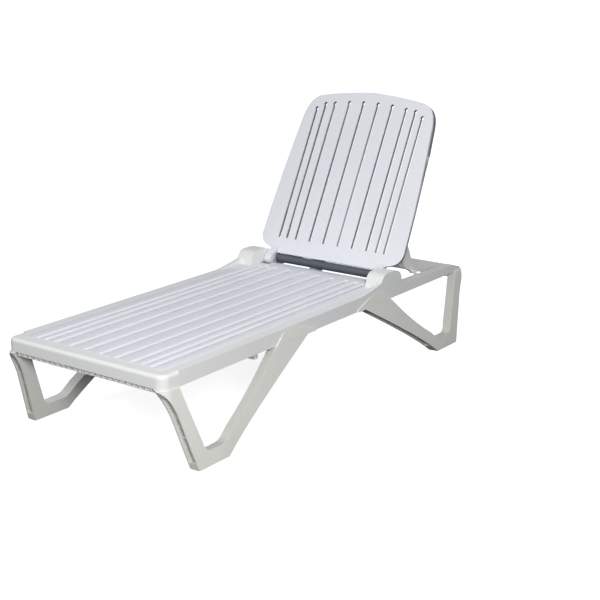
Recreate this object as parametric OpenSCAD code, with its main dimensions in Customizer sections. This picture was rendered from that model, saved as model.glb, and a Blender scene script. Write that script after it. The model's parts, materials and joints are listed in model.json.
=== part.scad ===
// Reclining sun lounger in moulded resin: a slatted seat on four loop legs, and a slatted back
// that reclines on two hinge pins and is held up by a folding prop that steps along two racks.
// Origin: middle of the footprint on the ground. +X runs to the head end, +Y to the left, +Z up.

/* [Frame] */
// Length of the frame from foot end to head end
frame_l = 1875; // [1750:5:2000]
// Width across the outer faces of the side rails
frame_w = 700; // [640:5:800]
// Height of the seat's top face above the ground
seat_h = 338; // [320:1:380]
// Depth of a side rail from its top to its underside
rail_h = 51; // [48:1:58]
// Width of a side rail
rail_w = 41; // [38:1:50]
// Wall of the rails and end bars
wall = 4; // [3:0.5:5]
// Width of the end bar's band, seen from above
band_w = 47; // [40:1:60]
// Length of the end bar's corners along the rails
corner_l = 75; // [70:1:90]
// Radius of the frame's corners, seen from above
corner_r = 32; // [25:1:45]
// How far the rails step down behind the hinge
rail_drop = 11; // [10:0.5:13]
// Further fall of the rails from there to the head end
rail_fall = 9; // [5:0.5:12]

/* [Legs] */
// How far the feet stand outside the rails
leg_splay = 44; // [30:1:60]
// Thickness of a leg loop
leg_t = 38; // [34:1:45]
// Distance from the frame's end to the front of the foot
foot_start = 110; // [90:1:130]
// Distance from the frame's end to the back of the foot
foot_end = 265; // [240:1:300]
// Height of the foot bar
foot_h = 50; // [40:1:60]
// Width of the steep leg
steep_w = 56; // [45:1:65]
// Distance from the frame's end to where the diagonal's upper edge meets the rail
ridge_end = 573; // [540:1:620]
// Distance from the frame's end to where the diagonal's lower edge meets the rail
diagonal_end = 752; // [720:1:800]
// Wall of a leg on both sides of its recess
leg_wall = 6; // [4:0.5:7]

/* [Seat] */
// Thickness of the seat's and back's skin
skin = 3; // [3:0.5:8]
// Depth of the seat panel's edges
seat_depth = 25; // [20:1:30]
// Width of the slots between the slats
slot_w = 11; // [8:0.5:14]
// Depth of the slats' turned-down edges
slat_depth = 14; // [12:0.5:15]
// Thickness of the slats' turned-down edges
slat_wall = 3; // [2:0.5:4]
// Distance from the hinge axis to the seat's rear edge
seat_back_gap = 10; // [8:1:30]

/* [Back] */
// Distance from the foot end to the hinge axis
hinge_x = 1346; // [1320:1:1370]
// Height of the hinge axis above the back's front face
hinge_rise = 10; // [9:0.5:12]
// Angle of the back above level, in its highest position
rest_angle = 61.9; // [50:0.1:66]
// Length of the back from the hinge axis to the top
back_l = 759; // [720:1:800]
// Half the back's greatest width
back_half = 345; // [320:1:347]
// Depth of the rim at the back's top
rim_depth = 27; // [22:1:30]
// Thickness of the rim
rim_w = 5; // [4:0.5:7]

/* [Hinge] */
// Radius of a hinge pin
pin_r = 6; // [5:0.5:8]
// Radius of the back's knuckles
knuckle_r = 24.5; // [20:0.5:26]
// Radius of the hinge housings behind the axis
housing_r = 40; // [34:0.5:42]
// Inner face of a hinge housing from the centre plane
housing_in = 278; // [276:0.5:284]
// Running clearance of pins in their bores
run = 0.05; // [0.02:0.01:0.1]

/* [Prop] */
// Distance along the back from the hinge axis to the prop's pivot, which is also the prop's length
prop_l = 200; // [180:1:215]
// Depth of the prop's pivot behind the hinge axis
prop_d = 35; // [33:0.5:38]
// Inner face of a prop arm from the centre plane
arm_in = 280; // [278:0.5:281]
// Thickness of a prop arm
arm_t = 12; // [8:0.5:12]
// Radius of a prop arm's eye
eye_r = 14; // [12:0.5:15]
// Radius of the pegs that stand in the racks
peg_r = 8; // [6:0.5:9]
// Radius of the prop's cross bar
bar_r = 9; // [7:0.5:11]
// Radius of the prop's pivot pins
prop_pin_r = 4; // [3:0.5:5]

/* [Screws] */
// Radius of the screws' shanks
screw_r = 2.5; // [2:0.5:3]
// Radius of the screws' heads
screw_head_r = 5; // [4:0.5:5.5]
// Thickness of the screws' heads
screw_head_h = 3.5; // [2.5:0.5:4]

/* [Hidden] */
$fn = 48;
// clearances
fit = 0.1;
gap = 0.3;
// frame
rail_in = frame_w / 2 - rail_w;
rail_mid = frame_w / 2 - rail_w / 2;
rail_z = seat_h - rail_h;
head_x = frame_l - hinge_x;
foot_lip = 5;
lip_drop = 13;
lip_set = 14;
head_top = [seat_h - rail_drop - rail_fall, seat_h - 31, seat_h - 43];
head_skirt = 32;
// legs
tilt = atan(leg_splay / seat_h);
tenon_h = 10;
steep_tenon = [30, 62];
diagonal_tenon = [640, 700];
tenon_top = 32;
rib_pitch = 38;
rib_t = 3;
rib_set = 14;
recess = 42;
below = 10;
// seat
slot_y = [35, 104, 173, 218, 256];
seat_mid = 232;
seat_rear = hinge_x - seat_back_gap;
seat_rear_side = hinge_x - housing_r - 2;
seat_slot = [band_w + 9, seat_rear_side - 36];
under_rib = 3;
brace_x = 515;
brace_w = 20;
brace_z = seat_h - 90;
head_brace_top = seat_h + hinge_rise - 52;
// back, measured from the hinge axis: t along the back, n outwards from its front face
back_start = 32;
shoulder = 47;
back_slot_start = 98;
back_slot_end = [for (d = [43, 46, 55, 60, 83]) back_l - d];
head_dot_r = 8;
cross_ribs = [250, 430, 610];
cross_rib_depth = 24;
cross_rib_t = 4;
knuckle_y = [243, 276];
tube_at = [14, -24];
tube_r = 17;
tube_wall = 3;
// hinge
housing_front = 111;
housing_top = 44;
ramp_front = 246;
ramp_y = frame_w / 2 - 18;
pin_y = [241, 302];
pin_head = [3, 3];
housing_screw_x = [-85, 22];
housing_screw_l = 18;
// prop
peg_y = rail_in - 1;
bracket_y = [266, arm_in - 1.5];
bracket_w = 44;
pin_end = 3;
arm_crown = 18;
bar_at = [150, -26];
rack_in = arm_in + arm_t + pin_end + 1;
rack_front = 9;
rack_end = 14;
rack_base = rail_z + 2;
rack_screw_x = [-170, -30];
notch_depth = 5;
notch_angles = [rest_angle, 52, 42, 31, 0];

// ---- outlines ----

// Points on an arc from angle a to angle b
function arc(c, r, a, b, n = 8) = [for (i = [0:n])
    c + r * [cos(a + (b - a) * i / n), sin(a + (b - a) * i / n)]];
// Points on a quadratic curve from a to c, bent towards b
function bend(a, b, c, n = 8) =
    [for (i = [0:n]) let (u = i / n) (1 - u) * (1 - u) * a + 2 * u * (1 - u) * b + u * u * c];
// Mirror image of a list of points in the second coordinate, in reverse order
function flipped(p) = [for (i = [len(p) - 1:-1:0]) [p[i][0], -p[i][1]]];

// Half plan of an end bar, inset by e, from the centre plane round the corner to the rail
function end_half(e) = concat(
    [for (p = arc([corner_r, frame_w / 2 - corner_r], corner_r - e, 180, 90)) p],
    [[corner_l - e, frame_w / 2 - e], [corner_l - e, rail_in + e], [band_w - e, rail_in + e]]);
module end_plan(e = 0) polygon(concat(end_half(e), flipped(end_half(e))));

// ---- placing ----

module foot_end() translate([-frame_l / 2, 0, 0]) children();
module head_end() mirror([1, 0, 0]) foot_end() children();
module right() mirror([0, 1, 0]) children();
// A shape drawn in x and z, given a thickness along +Y from y
module side_slab(y, t) translate([0, y + t, 0]) rotate([90, 0, 0]) linear_extrude(t) children();
// A round bar along +Y from y
module cross_rod(p, y, l, r) translate([p[0], y, p[1]]) rotate([-90, 0, 0]) cylinder(r = r, h = l);
module at_hinge() translate([hinge_x - frame_l / 2, 0, seat_h + hinge_rise]) children();
// The back lies along +X with its front up, and is raised to its highest position
module raised() at_hinge() rotate([0, -rest_angle, 0]) children();
// The prop lies along +X from its pivot, and stands in the first notch
module propped() raised() translate([prop_l, 0, -prop_d]) rotate([0, 2 * rest_angle, 0]) children();

// ---- frame ----

// End bar: a channel open below, with height limits drawn in x and z as its child
module end_bar(z) {
    difference() {
        intersection() {
            translate([0, 0, z]) linear_extrude(seat_h - z) end_plan();
            side_slab(-frame_w / 2 - 1, frame_w + 2) children(0);
        }
        intersection() {
            translate([0, 0, z - 1]) linear_extrude(seat_h - z) end_plan(wall);
            translate([0, 0, -wall]) side_slab(-frame_w / 2 - 1, frame_w + 2) children(0);
        }
        for (s = [-1, 1])
            translate([corner_l - wall - 1, s * rail_mid, rail_z + 16]) rotate([0, 90, 0])
                cylinder(r = screw_r + fit, h = wall + 2);
    }
}

module foot_end_bar() color("whitesmoke") foot_end() {
    end_bar(rail_z + foot_lip) polygon([[-1, 0], [corner_l + 1, 0], [corner_l + 1, seat_h], [-1, seat_h]]);
    // corners' lower edge down to the rails' underside
    for (s = [0, 1]) mirror([0, s, 0]) difference() {
        intersection() {
            translate([0, 0, rail_z]) linear_extrude(foot_lip) end_plan();
            translate([0, rail_in, rail_z]) cube([corner_l, rail_w, foot_lip]);
        }
        translate([0, 0, rail_z - 1]) linear_extrude(foot_lip + 2) end_plan(wall);
    }
    // lip under the nose, set back, with ribs in front of it
    translate([lip_set, -rail_in + 6, rail_z - lip_drop])
        cube([wall, 2 * rail_in - 12, seat_h - rail_z + lip_drop - wall]);
    for (y = [-rail_in + 10:26:rail_in - 10])
        translate([wall, y, rail_z - lip_drop + 4])
            cube([lip_set - wall, rib_t, seat_h - rail_z + lip_drop - wall - 4]);
}

module head_end_bar() color("whitesmoke") head_end() {
    profile = [[-1, 0], [corner_l + 1, 0], [corner_l + 1, head_top[0]], [band_w, head_top[1]],
        [-1, head_top[2]]];
    end_bar(rail_z) polygon(profile);
    // deeper skirt between the legs
    difference() {
        translate([0, -rail_in + 10, rail_z - head_skirt]) cube([band_w, 2 * rail_in - 20, head_skirt]);
        translate([wall, -rail_in + 10 + wall, rail_z - head_skirt - 1])
            cube([band_w - 2 * wall, 2 * rail_in - 20 - 2 * wall, head_skirt + 2]);
    }
}

// Side of a rail in x and z from the foot end, its top lowered by e
module rail_side(e = 0) {
    step = hinge_x + housing_r;
    polygon([[corner_l, rail_z], [frame_l - corner_l, rail_z], [frame_l - corner_l, head_top[0] - e],
        [step, seat_h - rail_drop - e], [step, seat_h - e], [corner_l, seat_h - e]]);
}

module side_rail() foot_end() {
    difference() {
        side_slab(rail_in, rail_w) rail_side();
        intersection() {
            side_slab(rail_in + wall, rail_w - 2 * wall) translate([0, -wall]) rail_side();
            translate([corner_l + wall, 0, 0]) cube([frame_l - 2 * corner_l - 2 * wall, frame_w, seat_h]);
        }
        // screw holes: ends, leg tenons, hinge housing and rack
        translate([corner_l - 1, rail_mid, rail_z + 16]) rotate([0, 90, 0])
            cylinder(r = screw_r + fit, h = frame_l - 2 * corner_l + 2);
        for (x = [leg_screw_x(), frame_l - leg_screw_x()])
            cross_rod([x, leg_screw_z()], rail_in - 1, wall + 2, screw_r + fit);
        for (x = housing_screw_x)
            translate([hinge_x + x, rail_mid, seat_h - wall - 1]) cylinder(r = screw_r + fit, h = wall + 2);
        for (x = rack_screw_x)
            cross_rod([rack_to() + x, rack_base + 5], rail_in - 1, wall + 2, screw_r + fit);
    }
    // stiffening ribs inside the channel
    for (x = [rib_start():120:hinge_x - 240])
        translate([x, rail_in + wall, seat_h - wall - 22]) cube([rib_t, rail_w - 2 * wall, 22]);
}
function rib_start() = 150;
function leg_screw_x() = (diagonal_tenon[0] + diagonal_tenon[1]) / 2;
function leg_screw_z() = rail_z + 14;

module side_rail_left() color("whitesmoke") side_rail();
module side_rail_right() color("whitesmoke") right() side_rail();

// ---- legs ----

// Everything drawn for a leg stands upright under the rail's outer face, and leans out by the tilt
module lean() translate([0, frame_w / 2, seat_h]) rotate([tilt, 0, 0])
    translate([0, -frame_w / 2, -seat_h]) children();

// Loop of a leg from the frame's end, in x and z
function steep_front() = concat([[foot_start, 0]],
    bend([foot_start - 60, rail_z - 95], [foot_start - 86, rail_z - 28],
    [-12, rail_z + 10]));
module leg_loop() difference() {
    polygon(concat([[foot_start, -below]], steep_front(), [[-12, rail_z + 30], [diagonal_end, rail_z + 30]],
        bend([diagonal_end, rail_z], [foot_end + 105, 82], [foot_end, 0]), [[foot_end, -below]]));
    polygon(concat([[steep_w + 12, rail_z]],
        bend([foot_start + 34, foot_h + 34], [foot_start + 40, foot_h], [foot_start + 66, foot_h]),
        bend([foot_end - 28, foot_h], [foot_end - 8, foot_h], [foot_end + 10, foot_h + 14]),
        bend([foot_end + 40, foot_h + 38], [foot_end + 150, 150], [ridge_end, rail_z]),
        [[ridge_end, rail_z + 40], [steep_w + 12, rail_z + 40]]));
}
// The part of the diagonal's face that runs up over the rail
module diagonal_shoulder() polygon([[ridge_end, rail_z], [ridge_end + 54, seat_h - 5],
    [ridge_end + 120, seat_h - 8],
    [diagonal_end + 45, rail_z + 8], [diagonal_end + 50, rail_z]]);
// Recess along the steep leg's front edge
module steep_recess() {
    front = steep_front();
    n = len(front) - 2;
    polygon([[foot_start - 30, 26], front[1] - [30, 0], front[n] - [60, 10],
        front[n] + [recess, -26], front[1] + [recess, 0], [foot_start + recess - 8, 26]]);
}
// Recess along the diagonal's underside
module diagonal_recess() polygon(concat(bend([diagonal_end - 40, rail_z - 60], [foot_end + 125, 36],
    [foot_end + 60, 0]),
    bend([foot_end + 28, 44], [foot_end + 115, 112], [diagonal_end - 120, rail_z - 38]),
        [[diagonal_end - 40, rail_z - 24]]));

module leg() foot_end() difference() {
    union() {
        intersection() {
            lean() side_slab(frame_w / 2 - leg_t, leg_t) leg_loop();
            translate([-50, 0, 0]) cube([frame_l, frame_w, rail_z]);
            union() {
                translate([corner_r, frame_w / 2 - corner_r, 0])
                    cylinder(r1 = corner_r + leg_splay, r2 = corner_r, h = seat_h, $fn = 96);
                translate([corner_r, 0, 0]) cube([frame_l, frame_w, seat_h]);
            }
        }
        // face over the rail
        intersection() {
            lean() side_slab(frame_w / 2 - leg_t, leg_t) diagonal_shoulder();
            translate([0, frame_w / 2, rail_z]) cube([frame_l, leg_splay, rail_h]);
        }
        translate([steep_tenon[0], rail_in + wall + 1, rail_z])
            cube([steep_tenon[1] - steep_tenon[0], 22, tenon_h]);
        translate([diagonal_tenon[0], rail_in + wall + gap, rail_z])
            cube([diagonal_tenon[1] - diagonal_tenon[0], rail_w - 2 * wall - 2 * gap, tenon_top]);
    }
    lean() side_slab(frame_w / 2 - leg_t + leg_wall, leg_t - 2 * leg_wall) difference() {
        union() {
            steep_recess();
            diagonal_recess();
        }
        // ribs, set back from the leg's edges
        intersection() {
            translate([rib_set, 0]) leg_loop();
            for (z = [rib_pitch:rib_pitch:rail_z - 20]) translate([-50, z])
                square([foot_start + 70, rib_t]);
        }
        intersection() {
            translate([0, rib_set]) leg_loop();
            for (x = [foot_end + 60:2 * rib_pitch:diagonal_end]) translate([x, 0]) square([rib_t, rail_z]);
        }
    }
    cross_rod([leg_screw_x(), leg_screw_z()], rail_in, rail_w - wall - 4, screw_r + fit);
}

module foot_leg_left() color("whitesmoke") leg();
module foot_leg_right() color("whitesmoke") right() leg();
module head_leg_left() color("whitesmoke") mirror([1, 0, 0]) leg();
module head_leg_right() color("whitesmoke") mirror([1, 0, 0]) right() leg();

// Cross brace between the rails, an inverted channel
module brace(x, top) foot_end() difference() {
    translate([x - brace_w / 2, -rail_in, brace_z]) cube([brace_w, 2 * rail_in, top - brace_z]);
    translate([x - brace_w / 2 + wall, -rail_in + wall, brace_z - 1])
        cube([brace_w - 2 * wall, 2 * rail_in - 2 * wall, top - brace_z + 1 - wall]);
}
module foot_brace() color("gainsboro") brace(brace_x, seat_h - seat_depth);
module head_brace() color("gainsboro") brace(frame_l - brace_x, head_brace_top);

// ---- seat ----

// A slot with round ends from a to b, widened by e, with a round head of radius r at b
module slot(a, b, e = 0, r = 0) {
    w = slot_w / 2 + e;
    translate([a + w, -w]) square([b - a - 2 * w, 2 * w]);
    translate([a + w, 0]) circle(r = w, $fn = 24);
    translate([b - w, 0]) circle(r = max(w, r), $fn = 24);
}
module each_slot() for (i = [0:len(slot_y) - 1], s = [-1, 1]) translate([0, s * slot_y[i], 0]) {
    $i = i;
    children();
}

module seat_outline(e = 0) polygon([[band_w + e, -rail_in + e], [seat_rear_side - e, -rail_in + e],
    [seat_rear_side - e, -seat_mid + e], [seat_rear - e, -seat_mid + e], [seat_rear - e, seat_mid - e],
    [seat_rear_side - e, seat_mid - e], [seat_rear_side - e, rail_in - e], [band_w + e, rail_in - e]]);

module seat_panel() color("ghostwhite") foot_end() translate([0, 0, seat_h - seat_depth]) difference() {
    union() {
        difference() {
            linear_extrude(seat_depth) seat_outline();
            translate([0, 0, -1]) linear_extrude(seat_depth - skin + 1) seat_outline(wall);
        }
        translate([0, 0, seat_depth - slat_depth]) linear_extrude(slat_depth)
            each_slot() slot(seat_slot[0] - slat_wall, seat_slot[1] + slat_wall, slat_wall);
        // cross ribs under the slats
        for (x = [band_w + 150:155:seat_rear_side - 120])
            translate([x, -rail_in + 1, 0]) cube([under_rib, 2 * rail_in - 2, seat_depth - slat_depth]);
    }
    translate([0, 0, seat_depth - slat_depth - 0.01]) linear_extrude(slat_depth + 1)
        each_slot() slot(seat_slot[0], seat_slot[1]);
}

// ---- hinge ----

module hinge_housing() at_hinge() difference() {
    union() {
        side_slab(housing_in, frame_w / 2 - housing_in) intersection() {
            union() {
                circle(r = housing_r, $fn = 96);
                polygon(concat([[0, -hinge_rise], [-housing_front, -hinge_rise]],
                    bend([-housing_front + 8, 10], [-housing_front + 14, housing_top],
                        [-housing_front + 46, housing_top]),
                    bend([-30, housing_top], [-8, housing_top], [0, housing_r])));
            }
            translate([-ramp_front, -hinge_rise]) square([2 * ramp_front, housing_top + hinge_rise]);
        }
        // outer flank, running out along the rail
        side_slab(ramp_y, frame_w / 2 - ramp_y) polygon(concat(
            bend([-ramp_front, -hinge_rise], [-housing_front - 60, -hinge_rise + 8], [-housing_front, 12]),
            bend([-housing_front + 14, 26], [-housing_front + 30, housing_top - 3],
                [-housing_front + 60, housing_top - 3]),
            [[-housing_front + 60, -hinge_rise]]));
    }
    cross_rod([0, 0], housing_in - 1, pin_y[1] - housing_in + 1 + fit, pin_r + run);
    for (x = housing_screw_x)
        translate([x, rail_mid, -hinge_rise - 1]) cylinder(r = screw_r + fit,
            h = housing_screw_l - wall + 1 + fit);
}
module hinge_housing_left() color("whitesmoke") hinge_housing();
module hinge_housing_right() color("whitesmoke") right() hinge_housing();

module hinge_pin() at_hinge() {
    cross_rod([0, 0], pin_y[0], pin_y[1] - pin_y[0], pin_r);
    cross_rod([0, 0], pin_y[0] - pin_head[1], pin_head[1], pin_r + pin_head[0]);
}
module hinge_pin_left() color("silver") hinge_pin();
module hinge_pin_right() color("silver") right() hinge_pin();

// ---- racks ----

// Where the middle of a peg passes, in x and z from the hinge axis, with the back at angle a
function peg_path(a) = [2 * prop_l * cos(a) + prop_d * sin(a), -prop_d * cos(a)];
function rack_from() = hinge_x + peg_path(rest_angle)[0] - rack_front;
function rack_to() = hinge_x + peg_path(0)[0] + rack_end;

// Toothed strip on the rail's inner face: each tooth is steep towards the hinge and falls to the next notch
module prop_rack() at_hinge() difference() {
    side_slab(rack_in, rail_in - rack_in) polygon(concat(
        [[rack_to() - hinge_x, rack_base - seat_h - hinge_rise],
            [rack_from() - hinge_x, rack_base - seat_h - hinge_rise],
         [rack_from() - hinge_x, peg_path(rest_angle)[1] - peg_r - notch_depth]],
        [for (i = [0:len(notch_angles) - 2], k = [0:2])
            let (p = peg_path(notch_angles[i]) - [0, peg_r + gap])
            p + [[-2, -notch_depth], [6, -notch_depth], [9, -1.5]][k]],
        [peg_path(0) - [8, peg_r + gap + notch_depth],
            [rack_to() - hinge_x, -prop_d - peg_r - gap - notch_depth]]));
    for (x = rack_screw_x)
        cross_rod([rack_to() + x - hinge_x, rack_base + 5 - seat_h - hinge_rise], rack_in + 3, 20,
            screw_r + fit);
}
module prop_rack_left() color("gainsboro") prop_rack();
module prop_rack_right() color("gainsboro") right() prop_rack();

// ---- back ----

// Half outline of the back, inset by e, from the middle of its lower edge to its top
function back_edge(e) = concat(
    [[back_start + e, 0], [back_start + e, knuckle_y[1] - 4 - e], [shoulder + e, knuckle_y[1] - 2 - e]],
    bend([shoulder + 4 + e, knuckle_y[1] + 6 - e], [shoulder + 16 + e, back_half - e],
        [shoulder + 66, back_half - e]),
    bend([shoulder + 90, back_half - 0.5 - e], [back_l * 0.52, back_half - 8 - e],
        [back_l - 119, back_half - 33 - e]),
    bend([back_l - 114, back_half - 34 - e], [back_l - 37 - e, back_half - 45 - e],
        [back_l - 26 - e, back_half - 105 - e]),
    bend([back_l - 24 - e, back_half - 117 - e], [back_l - 7 - e, 130], [back_l - e, 0]));
module back_outline(e = 0) polygon(concat(back_edge(e), flipped(back_edge(e))));

module backrest_panel() color("ghostwhite") raised() translate([0, 0, -hinge_rise]) difference() {
    union() {
        translate([0, 0, -skin]) linear_extrude(skin) back_outline();
        // rim, shallow over the rails and deeper towards the top
        intersection() {
            difference() {
                translate([0, 0, -rim_depth]) linear_extrude(rim_depth) back_outline();
                translate([0, 0, -rim_depth - 1]) linear_extrude(rim_depth + 2) back_outline(rim_w);
            }
            side_slab(-back_half - 1, 2 * back_half + 2) polygon([[0, 0], [0, -rail_drop + 1],
                [head_x - corner_l, -rail_drop - rail_fall + 1], [head_x, -rim_depth],
                    [back_l + 1, -rim_depth], [back_l + 1, 0]]);
        }
        translate([0, 0, -slat_depth]) linear_extrude(slat_depth)
            each_slot() slot(back_slot_start - slat_wall, back_slot_end[$i] + slat_wall, slat_wall,
                head_dot_r + slat_wall);
        for (t = cross_ribs)
            translate([t, -slot_y[4] - 20, -cross_rib_depth + hinge_rise])
                cube([cross_rib_t, 2 * slot_y[4] + 40, cross_rib_depth - hinge_rise - skin + 1]);
        // knuckles on the hinge pins
        for (s = [0, 1]) mirror([0, s, 0]) {
            cross_rod([0, hinge_rise], knuckle_y[0], knuckle_y[1] - knuckle_y[0], knuckle_r);
            side_slab(knuckle_y[0], knuckle_y[1] - knuckle_y[0])
                polygon([[0, hinge_rise], [6, hinge_rise + knuckle_r * 0.96],
                [shoulder + 12, 0], [shoulder + 12, -skin], [back_start + 4, -rim_depth],
                    [0, hinge_rise - knuckle_r]]);
        }
    }
    translate([0, 0, -slat_depth]) linear_extrude(slat_depth + 1)
        each_slot() slot(back_slot_start, back_slot_end[$i], 0, head_dot_r);
    for (s = [0, 1]) mirror([0, s, 0]) cross_rod([0, hinge_rise], knuckle_y[0] - 1,
        knuckle_y[1] - knuckle_y[0] + 2, pin_r + run);
}

// Tube between the knuckles, behind and below the hinge axis
module backrest_cross_tube() color("lightslategray") raised() difference() {
    cross_rod(tube_at, -knuckle_y[0], 2 * knuckle_y[0], tube_r);
    cross_rod(tube_at, -knuckle_y[0] - 1, 2 * knuckle_y[0] + 2, tube_r - tube_wall);
}

module prop_bracket() raised() translate([prop_l, 0, -prop_d]) difference() {
    side_slab(bracket_y[0], bracket_y[1] - bracket_y[0]) {
        circle(r = eye_r);
        polygon([[-eye_r, 0], [-bracket_w / 2, prop_d - hinge_rise - skin],
            [bracket_w / 2, prop_d - hinge_rise - skin], [eye_r, 0]]);
    }
    cross_rod([0, 0], bracket_y[0] - 1, 30, prop_pin_r + run);
}
module prop_bracket_left() color("gainsboro") prop_bracket();
module prop_bracket_right() color("gainsboro") right() prop_bracket();

module prop_pin() raised() translate([prop_l, 0, -prop_d]) {
    cross_rod([0, 0], bracket_y[0], arm_in + arm_t + gap - bracket_y[0], prop_pin_r);
    cross_rod([0, 0], arm_in + arm_t + gap, pin_end, prop_pin_r + 3);
}
module prop_pin_left() color("dimgray") prop_pin();
module prop_pin_right() color("dimgray") right() prop_pin();

// ---- prop ----

module prop_arm() propped() difference() {
    union() {
        side_slab(arm_in, arm_t) {
            circle(r = eye_r);
            translate([prop_l, 0]) circle(r = peg_r);
            polygon([[0, eye_r], [-eye_r, 0], [prop_l * 0.3, -38], [bar_at[0], bar_at[1] - bar_r - 4],
                [prop_l - 3, -peg_r + 1],
                [prop_l, peg_r],
                [prop_l * 0.55, arm_crown]]);
        }
        cross_rod([prop_l, 0], arm_in, peg_y - arm_in, peg_r);
    }
    cross_rod([0, 0], arm_in - 1, arm_t + 2, prop_pin_r + run);
}
module prop_arm_left() color("whitesmoke") prop_arm();
module prop_arm_right() color("whitesmoke") right() prop_arm();
module prop_crossbar() color("whitesmoke") propped() cross_rod(bar_at, -arm_in, 2 * arm_in, bar_r);

// ---- screws ----

// A pan-head screw that points along +Z from under its head
module screw(l) color("silver") {
    cylinder(r = screw_r, h = l);
    translate([0, 0, -screw_head_h]) cylinder(r = screw_head_r, h = screw_head_h);
}
module both_sides() for (s = [0, 1]) mirror([0, s, 0]) children();

module leg_screws() foot_end() both_sides() for (x = [leg_screw_x(), frame_l - leg_screw_x()])
    translate([x, rail_in, leg_screw_z()]) rotate([-90, 0, 0]) screw(rail_w - wall - 4.5);
module frame_screws() both_sides() for (m = [0, 1]) mirror([m, 0, 0]) foot_end()
    translate([corner_l - wall, rail_mid, rail_z + 16]) rotate([0, 90, 0]) screw(16);
module housing_screws() foot_end() both_sides() for (x = housing_screw_x)
    translate([hinge_x + x, rail_mid, seat_h - wall]) screw(housing_screw_l);
module rack_screws() foot_end() both_sides() for (x = rack_screw_x)
    translate([rack_to() + x, rail_in + wall, rack_base + 5]) rotate([90, 0, 0]) screw(13);

foot_end_bar();
head_end_bar();
side_rail_left();
side_rail_right();
seat_panel();
foot_leg_left();
foot_leg_right();
head_leg_left();
head_leg_right();
foot_brace();
head_brace();
hinge_housing_left();
hinge_housing_right();
hinge_pin_left();
hinge_pin_right();
prop_rack_left();
prop_rack_right();
leg_screws();
frame_screws();
housing_screws();
rack_screws();
backrest_panel();
backrest_cross_tube();
prop_bracket_left();
prop_bracket_right();
prop_pin_left();
prop_pin_right();
prop_arm_left();
prop_arm_right();
prop_crossbar();
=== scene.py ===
"""Looks of the reclining sun lounger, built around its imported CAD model.

Every moulded piece is a copy of its CAD node, merged, with its edges rounded as a mould rounds them, and
with its own resin finish. The top of the seat is a height field on a grid, because its slots' wide
rounding catches the light as bright lines.
"""
import json

import bmesh
import bpy
import numpy as np
from mathutils import Matrix, Vector

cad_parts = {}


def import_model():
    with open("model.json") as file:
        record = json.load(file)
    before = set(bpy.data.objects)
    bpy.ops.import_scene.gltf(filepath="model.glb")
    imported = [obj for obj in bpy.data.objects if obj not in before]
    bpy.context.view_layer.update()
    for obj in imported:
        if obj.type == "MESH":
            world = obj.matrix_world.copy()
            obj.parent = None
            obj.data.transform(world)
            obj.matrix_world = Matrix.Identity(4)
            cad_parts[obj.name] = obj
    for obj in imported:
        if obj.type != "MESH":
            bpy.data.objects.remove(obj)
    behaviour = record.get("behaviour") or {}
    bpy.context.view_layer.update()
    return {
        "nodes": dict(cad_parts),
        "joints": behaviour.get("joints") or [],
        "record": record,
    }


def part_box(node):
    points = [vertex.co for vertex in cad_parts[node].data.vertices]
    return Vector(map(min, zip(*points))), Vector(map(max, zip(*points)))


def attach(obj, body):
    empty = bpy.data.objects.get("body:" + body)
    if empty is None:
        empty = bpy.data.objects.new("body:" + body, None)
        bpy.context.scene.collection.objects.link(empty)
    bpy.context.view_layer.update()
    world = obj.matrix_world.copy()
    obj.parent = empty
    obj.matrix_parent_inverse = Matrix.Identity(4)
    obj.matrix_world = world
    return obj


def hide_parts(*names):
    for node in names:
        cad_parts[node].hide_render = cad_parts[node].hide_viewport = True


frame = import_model()
scene = bpy.context.scene

MM = 0.001
SHARP = np.radians(25)
BODY_OF = {node: body for body, nodes in frame["record"]["behaviour"]["bodies"].items() for node in nodes}
SLOT_OF = {part["node"]: part["material_slot"] for part in frame["record"]["subparts"]}
HINGE = Vector(next(j for j in frame["joints"] if j["name"] == "backrest_recline")["pos_m"])


# ---- shader maths ----

class Socket:
    """A socket that adds Math nodes when it is used in an expression."""

    def __init__(self, tree, socket):
        self.tree, self.socket = tree, socket

    def math(self, operation, *others):
        node = self.tree.nodes.new("ShaderNodeMath")
        node.operation = operation
        for slot, value in zip(node.inputs, (self, *others)):
            if isinstance(value, Socket):
                self.tree.links.new(value.socket, slot)
            else:
                slot.default_value = value
        return Socket(self.tree, node.outputs[0])

    def __add__(self, other): return self.math("ADD", other)
    def __radd__(self, other): return self.math("ADD", other)
    def __sub__(self, other): return self.math("SUBTRACT", other)
    def __mul__(self, other): return self.math("MULTIPLY", other)
    def __rmul__(self, other): return self.math("MULTIPLY", other)
    def __rsub__(self, other): return (self * -1.0).math("ADD", other)
    def clamp(self): return self.math("MINIMUM", 1.0).math("MAXIMUM", 0.0)


class Shader:
    """A material's node tree, with one method that adds any node."""

    def __init__(self, name):
        self.material = bpy.data.materials.new(name)
        self.material.use_nodes = True
        self.tree = self.material.node_tree
        self.bsdf = self.tree.nodes["Principled BSDF"]

    def node(self, kind, settings=None, out=0, **inputs):
        """Adds a node: settings first, then each input by its name, as a value or a link."""
        node = self.tree.nodes.new("ShaderNode" + kind)
        for key, value in (settings or {}).items():
            setattr(node, key, value)
        for key, value in inputs.items():
            self.feed(node.inputs[key.replace("_", " ")], value)
        return Socket(self.tree, node.outputs[out])

    def feed(self, slot, value):
        if isinstance(value, Socket):
            self.tree.links.new(value.socket, slot)
        else:
            slot.default_value = value

    def blend(self, factor, a, b):
        """Mixes two colours."""
        node = self.tree.nodes.new("ShaderNodeMix")
        node.data_type = "RGBA"
        for slot, value in zip((node.inputs[0], node.inputs[6], node.inputs[7]), (factor, a, b)):
            self.feed(slot, value)
        return Socket(self.tree, node.outputs[2])

    def finish(self, **inputs):
        for key, value in inputs.items():
            self.feed(self.bsdf.inputs[key.replace("_", " ")], value)
        return self.material


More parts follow.
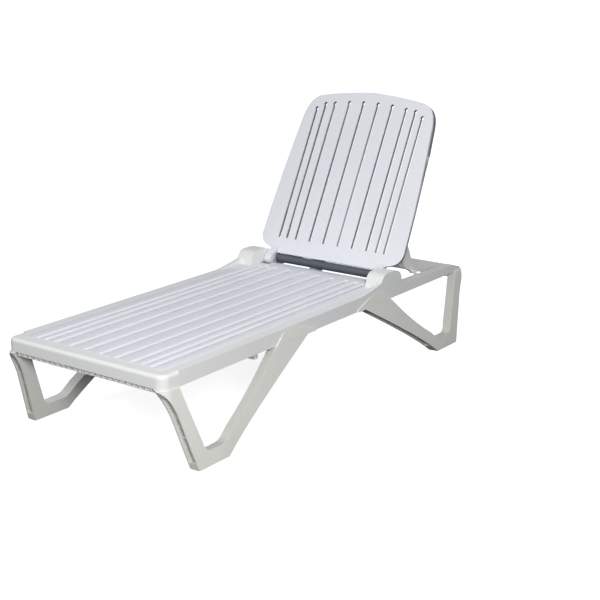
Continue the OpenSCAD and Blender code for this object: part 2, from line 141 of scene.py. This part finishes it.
def linear(rgb):
    """Linear colour with alpha from sRGB numbers of 0 to 255."""
    c = np.array(rgb) / 255
    return (*np.where(c <= 0.04045, c / 12.92, ((c + 0.055) / 1.055) ** 2.4), 1.0)


def resin(name, colour, worn, rough, grain=0.00012, low_darkening=0.25):
    """Moulded garden resin: faint flow marks and chalking in the colour, a fine spark-eroded grain, and
    the worn tone mixed in more towards the bottom, below about 11 cm."""
    s = Shader(name)
    place = s.node("TexCoord", out=3)
    cloud = s.node("TexNoise", {"noise_dimensions": "3D"}, Vector=place, Scale=3.2, Detail=5.0,
                   Roughness=0.6)
    speck = s.node("TexNoise", Vector=place, Scale=420.0, Detail=2.0, Roughness=0.5)
    stretched = s.node("Mapping", Vector=place, Scale=(1.2, 14.0, 14.0))
    flow = s.node("TexNoise", Vector=stretched, Scale=1.6, Detail=3.0)
    height = s.node("SeparateXYZ", out=2, Vector=place)
    # Darker worn tone towards the bottom, fading out about 11 cm above the floor.
    low = (1.0 - height * 9.0).clamp() * low_darkening
    mix = ((cloud - 0.38) * 1.7).clamp() * 0.45 + ((flow - 0.45) * 1.5).clamp() * 0.25 + low * cloud
    tone = s.blend(mix.clamp(), linear(colour), linear(worn))
    grit = s.node("Bump", Height=speck, Distance=grain, Strength=0.55)
    return s.finish(Base_Color=tone, Roughness=rough + (cloud - 0.5) * 0.16 + (speck - 0.5) * 0.10,
                    Normal=grit, Specular_IOR_Level=0.42)


def plated(name):
    """Zinc-plated steel, a little mottled in colour and sheen."""
    s = Shader(name)
    place = s.node("TexCoord", out=3)
    mottle = s.node("TexNoise", Vector=place, Scale=180.0, Detail=3.0)
    tone = s.blend(mottle, linear((150, 152, 155)), linear((196, 197, 198)))
    return s.finish(Base_Color=tone, Metallic=1.0, Roughness=0.32 + (mottle - 0.5) * 0.2)


MATERIALS = {
    "slat_white": resin("slat_resin", (232, 233, 238), (219, 221, 228), 0.40),
    "frame_white": resin("frame_resin", (233, 233, 232), (223, 222, 218), 0.42),
    "leg_white": resin("leg_resin", (229, 229, 223), (213, 211, 202), 0.44, low_darkening=0.5),
    "prop_white": resin("prop_resin", (226, 226, 222), (210, 210, 206), 0.45),
    "pin_grey": resin("pin_nylon", (176, 178, 181), (160, 162, 166), 0.38, low_darkening=0.0),
    # The cross tube is white resin; its dark blue-grey here is painted shade, standing in for the shadow
    # under the back's lower edge.
    "tube_grey": resin("tube_painted_shade", (88, 94, 102), (72, 78, 86), 0.40, low_darkening=0.0),
    "screw_steel": plated("screw_zinc"),
}


# ---- pieces ----

def place(piece, *nodes):
    """Gives a finished piece its finish, hangs it on the empty of the body it rides on, and hides the CAD
    nodes it stands for.
    """
    slot = SLOT_OF[nodes[0]]
    piece.data.materials.clear()
    piece.data.materials.append(MATERIALS[slot])
    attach(piece, BODY_OF[nodes[0]])
    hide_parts(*nodes)
    return piece


def merged_copy(node, name):
    """The CAD node's mesh as a new piece: doubles merged and flat faces joined."""
    mesh = frame["nodes"][node].data.copy()
    mesh.name = name
    bm = bmesh.new()
    bm.from_mesh(mesh)
    bmesh.ops.remove_doubles(bm, verts=bm.verts, dist=0.02 * MM)
    bmesh.ops.dissolve_limit(bm, angle_limit=np.radians(1.0), verts=bm.verts, edges=bm.edges)
    bm.to_mesh(mesh)
    bm.free()
    piece = bpy.data.objects.new(name, mesh)
    scene.collection.objects.link(piece)
    return piece


def edge_weights(piece, rule):
    """Bevel weight of each edge sharper than 25 degrees: rule(middle points, directions) gives 0 to 1."""
    mesh = piece.data
    bm = bmesh.new()
    bm.from_mesh(mesh)
    sharp = np.array([len(e.link_faces) == 2 and e.calc_face_angle(0.0) > SHARP for e in bm.edges])
    bm.free()
    points = np.empty(len(mesh.vertices) * 3, np.float32)
    mesh.vertices.foreach_get("co", points)
    points = points.reshape(-1, 3)
    ends = np.empty(len(mesh.edges) * 2, np.int32)
    mesh.edges.foreach_get("vertices", ends)
    a, b = points[ends[::2]], points[ends[1::2]]
    weight = np.where(sharp, rule((a + b) / 2, b - a), 0.0)
    attribute = mesh.attributes.new("bevel_weight_edge", "FLOAT", "EDGE")
    attribute.data.foreach_set("value", weight.astype(np.float32))


def round_edges(piece, width, segments=3, rule=None, clamp=True):
    """Rounds the piece's edges as a mould would, and shades its faces by their size."""
    bevel = piece.modifiers.new("round", "BEVEL")
    bevel.width = width
    bevel.segments = segments
    bevel.miter_outer = "MITER_ARC"
    bevel.harden_normals = False
    bevel.use_clamp_overlap = clamp
    if rule is None:
        bevel.limit_method = "ANGLE"
        bevel.angle_limit = SHARP
    else:
        edge_weights(piece, rule)
        bevel.limit_method = "WEIGHT"
    piece.data.shade_smooth()
    normals = piece.modifiers.new("shade", "WEIGHTED_NORMAL")
    normals.keep_sharp = True
    normals.weight = 80
    return piece


def in_back(points):
    """Points of the raised back in its own frame: along it from the hinge, across, and out of its front."""
    turn = Matrix.Rotation(np.radians(frame["joints"][0]["range_deg"][1]), 3, "Y")
    return (points - np.array(HINGE)) @ np.array(turn).T


def moulded(node, width, segments=3, rule=None, clamp=True):
    """A CAD node as a finished piece with rounded edges."""
    return place(round_edges(merged_copy(node, node + "_moulded"), width, segments, rule, clamp), node)


SEAT_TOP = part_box("seat_panel")[1].z
FOOT_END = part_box("foot_end_bar")[0].x
CORNER_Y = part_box("hinge_housing_left")[0].y + 60 * MM
SLAT_ROUND = 9 * MM
EDGE_ROUND = 2 * MM
SEAT_SUNK = 5 * MM
SLOT_Y = np.array([35, 104, 173, 218, 256]) * MM
SLOT_HALF = 5.5 * MM
SLOT_X = (FOOT_END + 56 * MM, FOOT_END + 1268 * MM)
SEAT_X = (FOOT_END + 47 * MM, FOOT_END + 1304 * MM, FOOT_END + 1336 * MM)
SEAT_HALF = 309 * MM
NOTCH_Y = 232 * MM
BACK_SLOTS_Y = 268 * MM
BACK_START = 50 * MM
BACK_TOP = 735 * MM


def rail_edges(middle, along):
    """Full rounding along the rail's top, a little elsewhere."""
    return np.where(middle[:, 2] > SEAT_TOP - 25 * MM, 1.0, 0.2)


def seat_top():
    """The seat's top as one height field on a grid, open at the slots.

    With d the distance to the nearest slot's middle line, w half a slot's width and r the rounding, the
    surface lies r - sqrt(r^2 - (r - (d - w))^2) below the top while d is under w + r, so that it falls in a
    quarter circle into the slot. At the outline it falls the same way over a rounding of EDGE_ROUND.
    Cells nearer than w to a slot's middle line are left out.
    """
    near = np.array([0, 0.02, 0.06, 0.14, 0.25, 0.4, 0.6, 0.8, 1.0]) * SLAT_ROUND + SLOT_HALF
    rim = np.array([0, 0.04, 0.15, 0.4, 1.0]) * EDGE_ROUND
    lines = np.concatenate([-SLOT_Y, SLOT_Y])
    y = np.concatenate([(lines[:, None] + side * near).ravel() for side in (-1, 1)] + [lines])
    rims = [rim - SEAT_HALF, SEAT_HALF - rim, rim - NOTCH_Y, NOTCH_Y - rim]
    y = np.unique(np.round(np.concatenate([y, *rims]), 5))
    ends = [SLOT_X[k] + np.arange(-16, 17) * MM for k in (0, 1)]
    x = np.unique(np.round(np.concatenate([SEAT_X[0] + rim, SEAT_X[1] - rim, SEAT_X[2] - rim, *ends,
                                           np.linspace(*SLOT_X, 12)]), 5))
    gx, gy = np.meshgrid(x, y, indexing="ij")

    def slot_distance(px, py):
        over = np.maximum(np.maximum(SLOT_X[0] + SLOT_HALF - px, px - (SLOT_X[1] - SLOT_HALF)), 0)
        across = np.min(np.abs(py[..., None] - lines), axis=-1)
        return np.hypot(over, across)

    def fall(distance, radius):
        t = np.clip(radius - distance, 0, radius)
        return radius - np.sqrt(np.maximum(radius ** 2 - t ** 2, 0))

    back = np.where(np.abs(gy) <= NOTCH_Y + 1e-6, SEAT_X[2], SEAT_X[1])
    border = np.minimum(np.minimum(gx - SEAT_X[0], back - gx), SEAT_HALF - np.abs(gy))
    drop = np.maximum(fall(slot_distance(gx, gy) - SLOT_HALF, SLAT_ROUND),
                      fall(np.maximum(border, 0), EDGE_ROUND))
    gz = SEAT_TOP - np.minimum(drop, SEAT_SUNK)
    n, m = gx.shape
    i, j = np.meshgrid(np.arange(n - 1), np.arange(m - 1), indexing="ij")
    cx, cy = (gx[:-1, :-1] + gx[1:, 1:]) / 2, (gy[:-1, :-1] + gy[1:, 1:]) / 2
    inside = cx < np.where(np.abs(cy) < NOTCH_Y, SEAT_X[2], SEAT_X[1])
    keep = inside & (slot_distance(cx, cy) > SLOT_HALF)
    a = (i * m + j)[keep]
    faces = np.stack([a, a + m, a + m + 1, a + 1], 1)
    used, faces = np.unique(faces, return_inverse=True)
    mesh = bpy.data.meshes.new("seat_slats")
    mesh.from_pydata(np.stack([gx, gy, gz], -1).reshape(-1, 3)[used], [], faces.reshape(-1, 4))
    mesh.shade_smooth()
    slats = bpy.data.objects.new("seat_slats", mesh)
    scene.collection.objects.link(slats)
    return place(slats, "seat_panel")


def seat():
    """The seat's own moulding, with its top lowered to where the height field over it ends."""
    body = merged_copy("seat_panel", "seat_panel_moulded")
    points = np.empty(len(body.data.vertices) * 3, np.float32)
    body.data.vertices.foreach_get("co", points)
    points = points.reshape(-1, 3)
    points[:, 2] = np.minimum(points[:, 2], SEAT_TOP - SEAT_SUNK)
    body.data.vertices.foreach_set("co", points.ravel())
    place(body, "seat_panel")
    seat_top()


def back_edges(middle, along):
    """Full rounding round the back's outline, half of it down into the slots, none behind."""
    p = in_back(middle)
    front = p[:, 2] > -12 * MM
    outline = (np.abs(p[:, 1]) > BACK_SLOTS_Y) | (p[:, 0] < BACK_START) | (p[:, 0] > BACK_TOP)
    return np.where(front, np.where(outline, 1.0, 0.5), 0.0)


def nose_edges(middle, along):
    """Full rounding round the top of the nose and its corners, a little elsewhere."""
    outer = (middle[:, 0] < FOOT_END + 20 * MM) | (np.abs(middle[:, 1]) > CORNER_Y)
    return np.where(outer & (middle[:, 2] > SEAT_TOP - 4 * MM), 1.0, 0.07)


def housing_edges(middle, along):
    """Full rounding over the hump, next to none where it stands on the rail."""
    return np.where(middle[:, 2] > SEAT_TOP + 4 * MM, 1.0, 0.05)


for side in ("left", "right"):
    moulded("side_rail_" + side, 10 * MM, 5, rail_edges)
    moulded("foot_leg_" + side, 2.5 * MM, 3)
    moulded("head_leg_" + side, 2.5 * MM, 3)
    moulded("hinge_housing_" + side, 11 * MM, 6, housing_edges)
    moulded("prop_rack_" + side, 1 * MM, 2)
    moulded("prop_bracket_" + side, 1.5 * MM, 2)
    moulded("prop_arm_" + side, 2.5 * MM, 3)
    moulded("hinge_pin_" + side, 0.8 * MM, 2)
    moulded("prop_pin_" + side, 0.8 * MM, 2)
moulded("foot_end_bar", 13 * MM, 6, nose_edges, clamp=False)
moulded("head_end_bar", 6 * MM, 4, lambda m, d: np.where(m[:, 2] > SEAT_TOP - 0.05, 1.0, 0.15))
moulded("foot_brace", 2 * MM, 2)
moulded("head_brace", 2 * MM, 2)
moulded("prop_crossbar", 1 * MM, 2)
# The cross tube gets the dark painted-shade finish of its slot.
moulded("backrest_cross_tube", 1 * MM, 2)
seat()
moulded("backrest_panel", 8 * MM, 5, back_edges)
for group in ("leg_screws", "frame_screws", "housing_screws", "rack_screws"):
    moulded(group, 0.5 * MM, 2)


# ---- floor, light and camera ----

def floor():
    """A plain pale floor. Camera rays see it lifted to white, with the shadow left in it."""
    mesh = bpy.data.meshes.new("floor")
    size = 30.0
    corners = [(-size, -size, 0), (size, -size, 0), (size, size, 0), (-size, size, 0)]
    mesh.from_pydata(corners, [], [(0, 1, 2, 3)])
    plane = bpy.data.objects.new("floor", mesh)
    scene.collection.objects.link(plane)
    s = Shader("floor_paper")
    grain = s.node("TexNoise", Vector=s.node("TexCoord", out=3), Scale=60.0)
    paper = s.blend(grain, linear((238, 238, 238)), linear((242, 242, 242)))
    seen = s.node("LightPath")
    s.finish(Base_Color=s.blend(seen, FLOOR_BOUNCE, paper), Roughness=0.9, Specular_IOR_Level=0.0)
    s.feed(s.bsdf.inputs["Emission Color"], (1.0, 1.0, 1.0, 1.0))
    s.feed(s.bsdf.inputs["Emission Strength"], seen * FLOOR_LIFT)
    mesh.materials.append(s.material)


def lamp(name, direction, size, power, colour=(1, 1, 1)):
    """An area lamp five metres out along a direction, aimed at the lounger's middle."""
    data = bpy.data.lights.new(name, "AREA")
    data.shape, data.size, data.energy, data.color = "DISK", size, power, colour
    obj = bpy.data.objects.new(name, data)
    middle = Vector((0, 0, 0.4))
    obj.location = middle + Vector(direction).normalized() * 5.0
    obj.rotation_euler = (middle - obj.location).to_track_quat("-Z", "Y").to_euler()
    scene.collection.objects.link(obj)


def world():
    """Pale studio air: white to the camera, and on the object a soft fill that grows towards the zenith."""
    w = bpy.data.worlds.new("studio")
    scene.world = w
    w.use_nodes = True
    tree = w.node_tree
    tree.nodes.clear()
    out = tree.nodes.new("ShaderNodeOutputWorld")
    path = tree.nodes.new("ShaderNodeLightPath")
    fill, seen = (tree.nodes.new("ShaderNodeBackground") for _ in range(2))
    mix = tree.nodes.new("ShaderNodeMixShader")
    fill.inputs[0].default_value = (0.93, 0.96, 1.0, 1)
    sky = tree.nodes.new("ShaderNodeTexCoord")
    up = tree.nodes.new("ShaderNodeSeparateXYZ")
    rise = tree.nodes.new("ShaderNodeMapRange")
    rise.inputs["To Min"].default_value, rise.inputs["To Max"].default_value = 0.22, 0.62
    tree.links.new(sky.outputs["Generated"], up.inputs[0])
    tree.links.new(up.outputs["Z"], rise.inputs["Value"])
    tree.links.new(rise.outputs[0], fill.inputs[1])
    seen.inputs[0].default_value = (1, 1, 1, 1)
    seen.inputs[1].default_value = 1.0
    tree.links.new(path.outputs["Is Camera Ray"], mix.inputs[0])
    tree.links.new(fill.outputs[0], mix.inputs[1])
    tree.links.new(seen.outputs[0], mix.inputs[2])
    tree.links.new(mix.outputs[0], out.inputs[0])


def camera():
    data = bpy.data.cameras.new("camera")
    data.lens = 76.2
    data.sensor_width = 36.0
    obj = bpy.data.objects.new("camera", data)
    obj.location = (-3.649, -2.831, 1.631)
    forward = Vector((0.7784, 0.5641, -0.2756))
    obj.rotation_euler = forward.to_track_quat("-Z", "Y").to_euler()
    scene.collection.objects.link(obj)
    scene.camera = obj


FLOOR_LIFT = 0.75
FLOOR_BOUNCE = (0.08, 0.085, 0.10, 1.0)
floor()
lamp("key", (-0.68, -0.64, 0.36), 1.6, 165, (1.0, 0.99, 0.975))
lamp("fill", (-1.0, 0.5, 0.9), 3.0, 30, (0.95, 0.97, 1.0))
world()
camera()
scene.view_settings.view_transform = "Standard"
